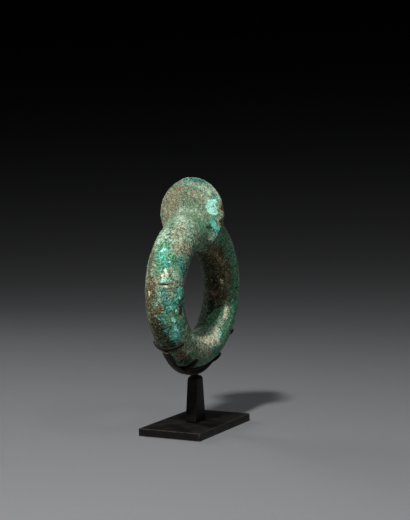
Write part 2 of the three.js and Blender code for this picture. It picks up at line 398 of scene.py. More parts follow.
ring_low, ring_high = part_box("bracelet")
limb_thickness = 27 * mm  # at the widest part of the ring
limb_swell = 1.5 * mm  # the limbs are this much thicker at the discs, and thinner at the foot
opening_height = 58.4 * mm
strip_low, strip_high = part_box("cradle_strip")
strip_thickness = 1.9 * mm
strip_drop = 3.1 * mm  # from the bottom of the ring down to the strip's inner face
strip_end_drop = 1.2 * mm  # the same at the strip's two ends
claw_width = 3.0 * mm
claw_tip_width = 2.6 * mm
end_claw_thickness = 1.2 * mm
claw_tip_thickness = 1.1 * mm
claw_reach = math.radians(58)
end_claw_angle = math.radians(49.5)
mid_claw_angle = math.radians(20.5)
clearance = 0.3 * mm
bar_arris = 0.28 * mm

side = Vector((0, -1, 0))  # towards the front
bottom = -math.pi / 2
ring_half_width = (ring_high.x - ring_low.x - limb_thickness) / 2
ring_half_height = (opening_height + limb_thickness) / 2


def limb_radius(angle):
    return (limb_thickness + limb_swell * math.sin(angle)) / 2


ring_middle_z = ring_low.z + limb_radius(bottom) + ring_half_height


def ring_frame(angle):
    """A point of the ring's centreline, and the directions out of the ring and along it."""
    c, s = math.cos(angle), math.sin(angle)
    centre = Vector((ring_half_width * c, 0, ring_middle_z + ring_half_height * s))
    outward = Vector((ring_half_height * c, 0, ring_half_width * s)).normalized()
    along = Vector((-ring_half_width * s, 0, ring_half_height * c)).normalized()
    return centre, outward, along


# Half a claw's width and the gap beside it, as an angle round the ring
claw_half_angle = (claw_width / 2 + clearance) / (ring_half_width + limb_thickness / 2)
strip_half_angle = end_claw_angle - claw_half_angle


def strip_gap(angle):
    share = ((angle - bottom) / strip_half_angle) ** 2
    return strip_drop + (strip_end_drop - strip_drop) * share


def bent_bar(stations):
    """A bar with filed corners. A station is its place, directions out and across, width and thickness."""
    rows = []
    for place, out, across, width, thickness in stations:
        middle = place + out * (thickness / 2)
        outline = rounded_oblong(width / 2, thickness / 2, bar_arris, 3)
        rows.append([middle + across * u + out * v for u, v in outline])
    return skin(rows)


def end_taper(t, length):
    """1 along a bar, falling in a quarter circle over its last stretch, for an end that is filed round."""
    into = max(0.0, (abs(t) - (1 - length)) / length)
    return math.sqrt(max(0.0, 1 - into * into * 0.93))


cradle_brown = make_brass_material("cradle_brown_brass", 0.46, 0.16, 6.0)


def make_strip():
    stations = []
    steps = 120
    for step in range(steps + 1):
        t = 2 * step / steps - 1
        angle = bottom + strip_half_angle * t
        centre, outward, _ = ring_frame(angle)
        hammered = 0.07 * mm * noise.noise(Vector((t * 9, 3, 0)))
        width = (strip_high.y - strip_low.y - 0.1 * mm) * (1 + 0.02 * noise.noise(Vector((t * 7, 0, 5))))
        place = centre + outward * (limb_radius(angle) + strip_gap(angle) + max(0.0, hammered))
        thickness = strip_thickness - abs(hammered)
        stations.append((place, outward, side, width, thickness))
    vertices, faces = bent_bar(stations)
    return new_piece("bent_strip", vertices, faces, cradle_brown, ["cradle_strip"])


def make_claw(node, angle, thickness):
    centre, outward, along = ring_frame(bottom + angle)
    radius = limb_radius(bottom + angle) + clearance
    stations = []
    steps = 56
    for step in range(steps + 1):
        t = 2 * step / steps - 1
        turn = claw_reach * t
        out = outward * math.cos(turn) + side * math.sin(turn)
        narrowing = t**4
        width = claw_width + (claw_tip_width - claw_width) * narrowing
        thick = thickness + (claw_tip_thickness - thickness) * narrowing
        rounding = end_taper(t, 0.07)
        lean = along * 0.12 * mm * noise.noise(Vector((t * 3, angle * 9, 0)))
        place = centre + out * radius + lean
        stations.append((place, out, -along, width * rounding, thick * (0.35 + 0.65 * rounding)))
    vertices, faces = bent_bar(stations)
    return new_piece(node + "_bar", vertices, faces, cradle_brown, [node])


make_strip()
mid_claw_thickness = strip_gap(bottom + mid_claw_angle) - 2 * clearance
make_claw("claw_left_end", -end_claw_angle, end_claw_thickness)
make_claw("claw_left_mid", -mid_claw_angle, mid_claw_thickness)
make_claw("claw_right_mid", mid_claw_angle, mid_claw_thickness)
make_claw("claw_right_end", end_claw_angle, end_claw_thickness)


# Liner
# A strip of dark brown leather, glued into the bend between the two middle claws, so that the bronze doesn't
# rest on metal. It is cut with a knife, and the weight of the ring has pressed it into soft creases.

liner_width = 4.2 * mm
leather_brown = (0.0125, 0.0085, 0.0062, 1)
leather_worn = (0.042, 0.028, 0.018, 1)
leather_crease = (0.0035, 0.0028, 0.0024, 1)


def make_leather_material():
    material, tree, shader, place = new_material("dark_leather")
    worn_inputs = {"Place": place, "Size": 2.6, "Level": 0.55, "Edge": 0.1, "Variety": 3.0}
    worn = use_group(tree, ragged_patches, worn_inputs)["Mask"]
    colour = layer(tree, worn, leather_brown, leather_worn)
    pebbles = add_node(tree, "TexVoronoi", {"Vector": place, "Scale": 2.4}, feature="DISTANCE_TO_EDGE")
    hide_grain = ramp(tree, pebbles.outputs[0], 0.0, 0.16)
    colour = layer(tree, ramp(tree, hide_grain, 0.6, 0.0, 0.0, 0.8), colour, leather_crease)
    fibres = use_group(tree, fine_grain, {"Place": place, "Size": 0.35, "Variety": 9.0})["Grain"]
    tree.links.new(colour, shader.inputs["Base Color"])
    tree.links.new(ramp(tree, fibres, 0.0, 1.0, 0.62, 0.86), shader.inputs["Roughness"])
    relief = math_of(tree, "ADD", hide_grain, math_of(tree, "MULTIPLY", fibres, 0.5))
    tree.links.new(bump(tree, relief, 0.10 * mm), shader.inputs["Normal"])
    return material


def make_liner():
    half_angle = mid_claw_angle - claw_half_angle
    stations = []
    steps = 90
    for step in range(steps + 1):
        t = 2 * step / steps - 1
        angle = bottom + half_angle * t
        centre, outward, _ = ring_frame(angle)
        creased = 0.12 * mm * abs(noise.noise(Vector((t * 8, 2, 0))))
        place = centre + outward * (limb_radius(angle) + clearance + creased)
        width = liner_width * (1 - 0.05 * abs(noise.noise(Vector((t * 11, 0, 4)))))
        thickness = strip_gap(angle) - 2 * clearance - creased
        stations.append((place, outward, side, width * end_taper(t, 0.02), thickness))
    vertices, faces = bent_bar(stations)
    leather = make_leather_material()
    return new_piece("leather_liner", vertices, faces, leather, ["cradle_liner"])


make_liner()


# Bracelet
# One thick bronze casting: a nearly round limb bent to an open ring, swelling into a flat disc at each end.
# Long burial has turned its skin to green and blue minerals, cream and tan crust and brown and red oxide.

disc_step = 0.5 * mm  # from the limbs' inner line up to the discs' lowest point
disc_gap = 1.2 * mm
rim_thickness = 2.7 * mm
rim_round = 0.6 * mm
disc_rise = 1.4 * mm  # how much thicker a disc is where its fillet begins
fillet_length = 5 * mm
fillet_share = 0.36  # of the way from the edge to the limb
# Broken and worn places of the edge: depth in mm, and middle and reach to each side in degrees
left_disc_losses = (
    (1.2, 9, 8),
    (1.5, 12, 3.2),
    (2.2, -7.5, 3.4),
    (1.4, -12, 9),
    (0.35, 130, 28),
    (0.4, -160, 9),
)
right_disc_losses = ((0.6, -4, 7), (0.4, 24, 6), (0.5, 150, 12))
# Each disc's width and height, with its losses
left_disc = (50 * mm, 51.8 * mm, left_disc_losses)
right_disc = (46.4 * mm, 49.6 * mm, right_disc_losses)
points_round = 176
limb_step = 0.8  # degrees along the ring between rows
groove_step = 0.25  # the same beside a groove, where the rows are closer
# Grooves across the limb: ring angle, from and to round the limb from the front, depth and half width in mm
grooves = (
    (170.4, 52, 84, 0.80, 0.42),
    (170.8, -20, 130, 0.08, 0.35),
    (7.0, -74, -22, 0.30, 0.40),
    (358.0, -16, 14, 0.75, 0.65),
)


def smooth(values, low, high):
    t = np.clip((values - low) / (high - low), 0, 1)
    return t * t * (3 - 2 * t)


def edge_loss(losses, turn):
    """How much of a disc's edge is lost at a turn, with a ragged line inside each broken place."""
    lost = 0.10 * mm * (1 + noise.fractal(Vector((math.cos(turn) * 7, math.sin(turn) * 7, 0)), 0.7, 2.0, 4))
    for depth, at, over in losses:
        apart = (turn - math.radians(at) + math.pi) % (2 * math.pi) - math.pi
        t = abs(apart) / math.radians(over)
        if t < 1:
            ragged = 1 + 0.45 * noise.fractal(Vector((turn * 11, depth, at)), 0.8, 2.0, 4)
            lost += depth * mm * smooth(1 - t, 0.0, 0.55) * ragged
    return lost


def disc_middle(height):
    """The height of a disc's middle."""
    return ring_middle_z + ring_half_height - limb_radius(math.pi / 2) + disc_step + height / 2


def disc_rows(sign, disc):
    """The loops of one disc end, from the middle of its flat face to the limb. Sign is -1 for the left."""
    width, height, losses = disc
    face_x = disc_gap / 2
    back_x = face_x + rim_thickness
    limb_angle = math.pi / 2 - sign * math.asin((back_x + disc_rise + fillet_length) / ring_half_width)
    limb_centre, limb_out, _ = ring_frame(limb_angle)
    middle_z = disc_middle(height)
    turns = np.arange(points_round) * (2 * math.pi / points_round)
    lost = np.array([edge_loss(losses, turn) for turn in turns])

    radius = limb_radius(limb_angle)
    limb_loop = np.array(limb_centre) + np.outer(radius * np.cos(turns), side)
    limb_loop += np.outer(radius * np.sin(turns), limb_out)
    foot = 1 - fillet_share

    def whole_edge(inset):
        across = -(width / 2 - inset) * np.cos(turns)
        up = middle_z + (height / 2 - inset) * np.sin(turns)
        return np.column_stack((across, up))

    lines = limb_loop[:, 1:] - whole_edge(0.0)
    lost_share = lost / np.linalg.norm(lines, axis=1)

    def loop_at(x, inset, inward):
        """A loop at x, each point a share of the way in on its line from the whole edge to the limb."""
        edge = whole_edge(inset)
        flat = edge + (limb_loop[:, 1:] - edge) * inward[:, None]
        return np.column_stack((x * np.ones(len(turns)), flat))

    def rim_loop(x, inset, share=1.0):
        loop = loop_at(sign * x, inset, lost_share)
        middle = np.array((sign * x, 0.0, middle_z))
        return middle + (loop - middle) * share

    def back_loop(share):
        """The broken edge is cut out of the whole back, so the height follows the place on the line."""
        inward = lost_share + (1 - lost_share) * share
        risen = sign * (back_x + disc_rise * np.minimum(1, inward / foot))
        into_fillet = np.maximum(0, inward - foot) / fillet_share
        turned = 1 - np.sqrt(np.maximum(0, 1 - into_fillet**2))
        return loop_at(risen + (limb_loop[:, 0] - risen) * turned, rim_round, inward)

    rows = [rim_loop(face_x, rim_round, share) for share in (0.02, 0.25, 0.5, 0.75, 0.93)]
    rounding = []
    for step in range(4):
        quarter = math.pi / 2 * step / 3
        rounding.append((rim_round * (1 - math.cos(quarter)), rim_round * (1 - math.sin(quarter))))
    rows += [rim_loop(face_x + in_x, inset) for in_x, inset in rounding]
    rows.append(rim_loop((face_x + back_x) / 2, 0.0))
    rows += [rim_loop(back_x - in_x, inset) for inset, in_x in rounding]
    rows += [back_loop(foot * step / 14) for step in range(1, 15)]
    rows += [back_loop(foot + fillet_share * math.sin(math.pi / 2 * step / 8)) for step in range(1, 9)]
    return rows, limb_angle


def ring_row_angles(start, end):
    """Angles of the rows along the ring in degrees, closer together beside the grooves."""
    angles = list(np.arange(start, end, limb_step))
    for at, *rest in grooves:
        at = at if at > start else at + 360
        angles += list(np.arange(at - 1.6, at + 1.6, groove_step))
    angles = sorted(angles)
    kept = [angles[0]]
    for angle in angles[1:]:
        if angle - kept[-1] >= 0.2:
            kept.append(angle)
    return kept[1:-1]


def limb_place(angle, turn):
    """A point on the limb in millimetres, from degrees along the ring and round the limb from its front."""
    centre, outward, _ = ring_frame(math.radians(angle))
    out = side * math.cos(math.radians(turn)) + outward * math.sin(math.radians(turn))
    return np.array(centre + out * limb_radius(math.radians(angle))) / mm


def disc_place(across, up, back=3.6):
    """A point on the left disc's back in millimetres, from its middle. The right disc's back is negative."""
    return np.array((-back, across, disc_middle(left_disc[1]) / mm + up))


def skin_stretches(place_of, *rows):
    """Stretches of skin. Each row has the two numbers of one place, those of another, and a reach in mm."""
    return [(place_of(*row[:2]), place_of(*row[2:4]), row[4]) for row in rows]


# Where each mineral has grown thickest, on the left disc and on the limb. Some dark rows also paint shade,
# and one cream spot paints a glint.
growths = {
    "tan": skin_stretches(
        disc_place,
        (16.5, 12.0, 18.0, 3.0, 7.5),
        (9.0, 18.0, 12.0, 9.0, 4.5),
        (2.0, -6.0, -1.0, -7.5, 3.2),
        (-1.0, 14.5, -8.5, 11.5, 3.4),
        (-12.5, -3.0, -13.5, -6.5, 2.2),
    )
    + skin_stretches(
        limb_place,
        (140, 42, 136, 14, 6.0),
        (123, 62, 131, 66, 4.2),
        (177, 50, 179, 40, 3.0),
        (168, 92, 172, 80, 2.6),
        (170, 40, 169, -6, 2.0),
        (233, 30, 246, 40, 5.5),
        (172, 112, 206, 104, 2.6),
        (320, -70, 332, -60, 3.0),
        (252, -10, 272, 10, 4.6),
        (60, 100, 35, 130, 9.0),
        (225, 170, 200, 215, 8.0),
    ),
    "pale": skin_stretches(
        disc_place,
        (6.0, -0.5, -4.0, -4.0, 6.0),
        (-8.6, 18.9, -14.9, 15.4, 2.0),
        (-18.8, 16.1, -23.4, 10.5, 1.9),
        (21.0, -14.5, 24.0, -13.4, 4.0),
    )
    + skin_stretches(
        limb_place,
        (112, 84, 119, 70, 4.6),
        (130, 104, 140, 108, 4.0),
        (158, 40, 162, 30, 3.4),
        (229, -16, 245, -32, 3.6),
        (232, 32, 238, 16, 2.8),
        (250, -26, 290, -20, 9.0),
        (275, -34, 305, -50, 6.5),
        (318, -36, 334, -36, 3.4),
        (60, -4, 32, 4, 4.2),
        (32, 4, 2, 6, 4.2),
        (88, 170, 110, 190, 8.0),
    ),
    "green": skin_stretches(
        limb_place,
        (62, -12, 20, -4, 7.0),
        (20, -4, 328, -2, 6.0),
        (328, -8, 300, -12, 6.0),
        (104, 18, 86, -8, 4.6),
        (184, 148, 202, 140, 5.0),
        (143, 92, 156, 76, 5.5),
        (150, 60, 158, 20, 4.5),
        (192, 60, 202, 20, 5.5),
        (238, 36, 244, 24, 3.0),
        (276, 0, 284, 10, 3.6),
        (330, -70, 305, -80, 6.5),
    ),
    "teal": skin_stretches(
        disc_place,
        (5.6, 25.4, -12.6, 22.8, 1.7),
        (-17.6, -6.0, -20.0, -12.0, 3.6),
        (-19.0, 12.4, -21.4, 7.0, 2.4),
    )
    + skin_stretches(
        limb_place,
        (150, 24, 158, 8, 4.2),
        (177, 62, 186, 46, 4.6),
        (174, 16, 188, 4, 4.4),
        (194, 80, 204, 66, 4.0),
        (204, 38, 212, 46, 4.6),
        (240, 74, 246, 62, 3.4),
        (278, 10, 284, 16, 2.8),
        (154, 58, 158, 70, 3.2),
        (30, 165, 350, 180, 8.0),
    ),
    "brown": skin_stretches(
        limb_place,
        (150, 124, 172, 112, 3.0),
        (172, 112, 206, 100, 4.8),
        (174, 130, 214, 122, 4.6),
        (187, 80, 190, 92, 3.0),
        (222, 66, 236, 58, 3.6),
        (58, -66, 20, -68, 10.5),
        (20, -68, 346, -76, 10.0),
        (84, -40, 70, -50, 5.0),
        (20, -46, 6, -48, 3.4),
        (150, 230, 120, 240, 9.0),
    ),
    "dark": skin_stretches(
        limb_place,
        (200, 96, 217, 78, 5.4),
        # These long dark bands on the far limb's inner face are dark oxide and also painted shade: the
        # shadow that the near limb casts there.
        (64, -114, 36, -118, 6.5),
        (36, -118, 10, -120, 6.5),
        (10, -120, 345, -122, 6.5),
        (345, -122, 320, -124, 6.5),
        (320, -118, 296, -116, 5.5),
        (56, -150, 16, -150, 6.0),
        (16, -150, 336, -150, 6.0),
        (50, -84, 26, -96, 5.5),
        (10, -92, 340, -104, 6.5),
        (340, -90, 318, -100, 4.0),
        (96, 14, 88, -6, 3.0),
        (186, 10, 194, 12, 2.0),
        (240, 62, 300, 62, 4.5),
    ),
    "rust": skin_stretches(
        disc_place,
        (11.0, 17.4, 8.1, 16.8, 1.5),
        (4.9, 17.5, 4.4, 17.3, 1.1),
        (-1.6, 14.6, -3.0, 14.7, 1.3),
        (2.6, -6.4, 0.6, -6.8, 1.3),
    )
    + skin_stretches(
        limb_place,
        (187, 80, 189, 72, 1.7),
        (169, 120, 171, 98, 1.8),
        (44, -58, 32, -46, 2.4),
        (17, -44, 10, -40, 2.2),
        (12, -70, 2, -62, 2.2),
        (353, -78, 349, -70, 1.6),
        (60, -60, 50, -56, 1.8),
    )
    + [
        (disc_place(-23.0, 7.0, 2.4), disc_place(-24.2, 2.4, 2.0), 2.6),
    ],
    "turquoise": skin_stretches(
        disc_place,
        (-16.6, -4.4, -20.6, -10.4, 2.3),
    )
    + skin_stretches(
        limb_place,
        (146, 80, 151, 92, 3.0),
        (152, 84, 156, 66, 1.8),
        (174, 12, 176, 2, 2.6),
        (178, 18, 186, 34, 2.4),
        (186, 30, 188, 50, 1.7),
        (206, 38, 212, 48, 4.2),
        (284, 4, 286, -2, 2.0),
        (346, 2, 341, 0, 1.8),
        (60, 150, 48, 170, 4.0),
        (215, 200, 205, 190, 4.0),
    ),
    "mint": skin_stretches(
        disc_place,
        (-15.4, 8.0, -18.6, 8.2, 2.5),
        (-13.4, 5.2, -18.6, 4.4, 2.4),
        (-15.6, 2.0, -19.4, 0.8, 2.3),
    )
    + skin_stretches(
        limb_place,
        (145, 82, 147, 86, 1.4),
        (167, 64, 168, 69, 1.5),
        (154, 59, 154.5, 57, 1.0),
        (190, 30, 190, 27, 0.9),
        (196, 43, 199, 40, 1.2),
        (204, 42, 207, 36, 1.0),
        (209, 48, 212, 46, 1.2),
        (180, 14, 181, 10, 1.1),
        (288, -6, 289, -3, 1.4),
        (292, -22, 298, -28, 1.8),
        (122, 150, 126, 158, 3.0),
    ),
    "cream": skin_stretches(
        disc_place,
        (3.5, 2.6, 0.3, 2.6, 0.9),
        (-8.4, 13.3, -8.8, 13.2, 1.0),
    )
    + skin_stretches(
        limb_place,
        (160, 66, 164, 60, 1.3),
        (164, 72, 166, 70, 1.1),
        (172, 60, 172, 0, 0.9),
        # Painted highlight: this small cream spot on the near limb's outer edge stands for a glint of the
        # lamp on the left.
        (176, 115, 178, 114, 1.1),
        (274, -38, 286, -24, 4.4),
        (248, -36, 272, -30, 3.4),
        (290, -34, 300, -44, 2.6),
        (321, -34, 331, -40, 2.0),
        (9, -63, 7, -61, 1.3),
        (30, 100, 20, 112, 3.0),
    ),
    "red": skin_stretches(
        disc_place,
        (24.6, -4.8, 23.6, -8.4, 1.7),
    )
    + skin_stretches(
        limb_place,
        (353, -96, 348, -84, 1.8),
    )
    + [
        (disc_place(-23.4, -4.4, 2.4), disc_place(-22.6, -7.6, 2.4), 2.0),
    ],
}

# Where handling before burial, or cleaning since, has left the skin calmer: the backs of the two discs
calm_skin = (
    (disc_place(12.0, 8.0), disc_place(-8.0, 2.0), 20.0),
    (disc_place(10.0, 6.0, -3.6), disc_place(-10.0, 0.0, -3.6), 20.0),
)
# Small deep pits: place and reach in millimetres
deep_pits = (
    (disc_place(-17.9, 5.6), 1.0),
    (disc_place(-10.5, 8.3), 0.8),
    (disc_place(19.3, -2.2), 0.8),
    (disc_place(20.5, -4.0), 0.7),
    (limb_place(172, 24), 0.9),
    (limb_place(184, 12), 0.9),
    (limb_place(284, -14), 0.8),
)

# Heights of the skin's forms in millimetres
dent_height = 0.26
lump_height = 0.13
grit_height = 0.09
crust_height = 0.20
pit_depth = 0.32
oxide_depth = 0.12
middle_height = 0.12


def noise_over(places, size, octaves, shift):
    """Fractal noise at each place, about -1 to 1, with the largest features of a size in millimetres."""
    move = Vector((shift, -shift, 2 * shift))
    return np.array([noise.fractal(p / size + move, 0.75, 2.0, octaves) for p in places])


def growth_of(points, stretches):
    """How thick a mineral is at each point: 1 in a stretch, half at its reach, then soon nothing."""
    grown = np.zeros(len(points))
    for start, end, reach in stretches:
        line = end - start
        share = np.clip((points - start) @ line / max(line @ line, 1e-9), 0, 1)
        away = np.linalg.norm(points - start - share[:, None] * line, axis=1) / reach
        grown = np.maximum(grown, np.clip(1.5 - away, 0, 1))
    return grown


def groove_depths(angles, turns, wander):
    """The depth of the grooves in millimetres, and a mask of them, for points of the limb."""
    depth = np.zeros(len(angles))
    mask = np.zeros(len(angles))
    mm_per_degree = math.radians(1) * ring_half_width / mm * 1.2
    for at, start, end, deep, half_width in grooves:
        off = ((angles - at + 180) % 360 - 180) * mm_per_degree + 0.35 * wander
        across = np.exp(-((off / half_width) ** 2))
        within = smooth(turns, start - 6, start + 6) * smooth(turns, end + 6, end - 6)
        depth = np.maximum(depth, deep * across * within)
        mask = np.maximum(mask, across * within * min(1.0, deep * 2.2))
    return depth, mask


def make_bracelet():
    left_rows, left_angle = disc_rows(-1, left_disc)
    right_rows, right_angle = disc_rows(1, right_disc)
    row_angles = ring_row_angles(math.degrees(left_angle), math.degrees(right_angle) + 360)
    turns = np.linspace(0, 360, points_round, endpoint=False)
    towards_front = np.outer(np.cos(np.radians(turns)), side)
    rows = list(left_rows)
    angle_of_row = [math.degrees(left_angle)] * len(left_rows)
    for degrees in row_angles:
        centre, outward, _ = ring_frame(math.radians(degrees))
        radius = limb_radius(math.radians(degrees))
        directions = towards_front + np.outer(np.sin(np.radians(turns)), outward)
        rows.append(np.array(centre) + radius * directions)
        angle_of_row.append(degrees)
    rows += right_rows[::-1]
    angle_of_row += [math.degrees(right_angle)] * len(right_rows)
    grid = np.array(rows)
    along_step = np.gradient(grid, axis=0)
    round_step = np.roll(grid, -1, axis=1) - np.roll(grid, 1, axis=1)
    normals = np.cross(round_step, along_step)
    lengths = np.linalg.norm(normals, axis=2, keepdims=True)
    normals = (normals / np.maximum(lengths, 1e-12)).reshape(-1, 3)
    points = grid.reshape(-1, 3) / mm
    places = [Vector(p) for p in points]
    angles = np.repeat(angle_of_row, points_round)
    all_turns = (np.tile(turns, len(rows)) + 90) % 360 - 90

    ragged = noise_over(places, 2.6, 4, 3.0)
    growth = {name: growth_of(points, stretches) for name, stretches in growths.items()}
    dents = noise_over(places, 16.0, 2, 7.0)
    lumps = noise_over(places, 4.5, 4, 11.0)
    grit = noise_over(places, 1.1, 3, 17.0)
    islands = smooth(noise_over(places, 9.0, 5, 23.0), 0.10, 0.22)
    minerals = np.maximum(growth["turquoise"], np.maximum(growth["mint"], growth["cream"]))
    crust = np.maximum(islands * 0.8, smooth(minerals + 0.3 * ragged, 0.4, 0.6))
    cells = np.array([noise.voronoi(p / 2.1 + Vector((5, 1, 9)))[0][0] for p in places])
    pitted = smooth(noise_over(places, 7.0, 3, 31.0) + 0.35 * growth["brown"], 0.05, 0.35)
    pits = smooth(cells, 0.34, 0.10) * pitted * (1 - 0.8 * crust)
    for place, reach in deep_pits:
        pits = np.maximum(pits, 1.8 * smooth(np.linalg.norm(points - place, axis=1) / reach, 1.0, 0.35))
    on_limb = np.zeros(len(points))
    on_limb[len(left_rows) * points_round : (len(rows) - len(right_rows)) * points_round] = 1.0
    groove, groove_mask = groove_depths(angles, all_turns, ragged)
    height = dent_height * dents + lump_height * lumps + grit_height * grit + crust_height * crust
    height -= pit_depth * pits + groove * on_limb + oxide_depth * growth["brown"]
    # The two flat faces at the gap stay plain, and the height is measured from the middle of its range.
    hidden = 6 * points_round
    height[:hidden] = 0.0
    height[-hidden:] = 0.0
    height -= middle_height
    shaped = points + normals * height[:, None]
    inner = disc_gap / mm / 2
    left_side = shaped[: len(left_rows) * points_round, 0]
    left_side[:] = np.minimum(left_side, -inner)
    right_side = shaped[-len(right_rows) * points_round :, 0]
    right_side[:] = np.maximum(right_side, inner)

    _, faces = skin([[0] * points_round] * len(rows))
    bronze = new_piece("cast_bracelet", shaped * mm, faces, make_bronze_material(), ["bracelet"])
    growth["pits"] = np.clip(np.maximum(pits, groove_mask * on_limb), 0, 1)
    growth["calm"] = growth_of(points, calm_skin)
    for name, values in growth.items():
        layer_data = bronze.data.attributes.new(name, "FLOAT", "POINT")
        layer_data.data.foreach_set("value", values.astype(np.float32))
    return bronze


olive_ground = (0.135, 0.200, 0.112, 1)
sage_ground = (0.290, 0.425, 0.300, 1)
bright_green = (0.082, 0.300, 0.150, 1)
teal_mineral = (0.030, 0.200, 0.155, 1)
pale_bloom = (0.450, 0.590, 0.430, 1)
tan_earth = (0.370, 0.320, 0.205, 1)
brown_oxide = (0.092, 0.066, 0.020, 1)
# Dark oxide. On the far limb's inner face it also paints the shade cast by the near limb.
dark_oxide_and_shade = (0.017, 0.021, 0.008, 1)
rust_oxide = (0.290, 0.170, 0.075, 1)
turquoise_mineral = (0.080, 0.550, 0.425, 1)
mint_mineral = (0.460, 0.930, 0.780, 1)
# Cream crust. The same colour also paints one small glint on the near limb's outer edge.
cream_crust_and_glint = (0.900, 0.880, 0.590, 1)
red_oxide = (0.330, 0.150, 0.120, 1)
pit_dark = (0.010, 0.013, 0.010, 1)
# The minerals in the order they lie: where they have grown, colour, patch size in mm, the level that noise
# and growth must pass, the noise's variety, how much growth counts, how far flecks cross the edge, how soft
# the edge is, and how far the layer covers
mineral_layers = (
    ("pale", pale_bloom, 5.0, 0.86, 2.0, 0.56, 1.5, 0.14, 0.85),
    ("tan", tan_earth, 6.0, 0.86, 3.0, 0.54, 1.1, 0.24, 0.75),
    ("green", bright_green, 5.0, 0.78, 4.0, 0.48, 1.2, 0.10, 0.85),
    ("teal", teal_mineral, 3.6, 0.90, 5.0, 0.60, 1.5, 0.10, 0.9),
    ("brown", brown_oxide, 4.0, 0.84, 6.0, 0.58, 1.3, 0.08, 0.93),
    ("rust", rust_oxide, 2.6, 0.95, 7.0, 0.64, 1.6, 0.10, 0.8),
    ("dark", dark_oxide_and_shade, 2.6, 0.84, 8.0, 0.60, 1.5, 0.08, 0.92),
    ("turquoise", turquoise_mineral, 2.4, 0.95, 9.0, 0.66, 1.8, 0.08, 0.93),
    ("teal", mint_mineral, 1.6, 1.24, 14.0, 0.50, 2.4, 0.08, 0.7),
    ("brown", tan_earth, 1.6, 1.22, 15.0, 0.50, 2.4, 0.08, 0.6),
    ("cream", cream_crust_and_glint, 2.0, 0.95, 10.0, 0.68, 1.6, 0.08, 0.9),
    ("mint", mint_mineral, 2.0, 0.92, 11.0, 0.70, 0.9, 0.06, 1.0),
    ("red", red_oxide, 1.8, 0.95, 12.0, 0.68, 1.6, 0.12, 0.85),
)


def make_mineral_grains():
    """Separate crystals of crust: each grain's lightness, and masks of warm, cool and dark grains."""
    tree, given, result = new_group(
        "mineral_grains",
        [("Place", "NodeSocketVector", None), ("Size", "NodeSocketFloat", 1.2)],
        [
            ("Light", "NodeSocketFloat"),
            ("Warm", "NodeSocketFloat"),
            ("Cool", "NodeSocketFloat"),
            ("Dark", "NodeSocketFloat"),
            ("Height", "NodeSocketFloat"),
        ],
    )
    stir_inputs = {"Vector": given["Place"], "Scale": 0.9, "Detail": 2.0}
    stir = add_node(tree, "TexNoise", stir_inputs).outputs["Color"]
    stirred_inputs = {0: stir, 1: (1.6, 1.6, 1.6), 2: given["Place"]}
    stirred = add_node(tree, "VectorMath", stirred_inputs, operation="MULTIPLY_ADD")
    scale = math_of(tree, "DIVIDE", 1.0, given["Size"])
    cells = add_node(tree, "TexVoronoi", {"Vector": stirred.outputs[0], "Scale": scale, "Randomness": 1.0})
    chance = add_node(tree, "SeparateColor", {0: cells.outputs["Color"]}).outputs
    tree.links.new(chance[0], result["Light"])
    tree.links.new(ramp(tree, chance[1], 0.70, 0.95), result["Warm"])
    tree.links.new(ramp(tree, chance[2], 0.72, 0.95), result["Cool"])
    tree.links.new(ramp(tree, chance[1], 0.16, 0.04), result["Dark"])
    tree.links.new(ramp(tree, cells.outputs["Distance"], 0.75, 0.1), result["Height"])
    return tree


mineral_grains = make_mineral_grains()


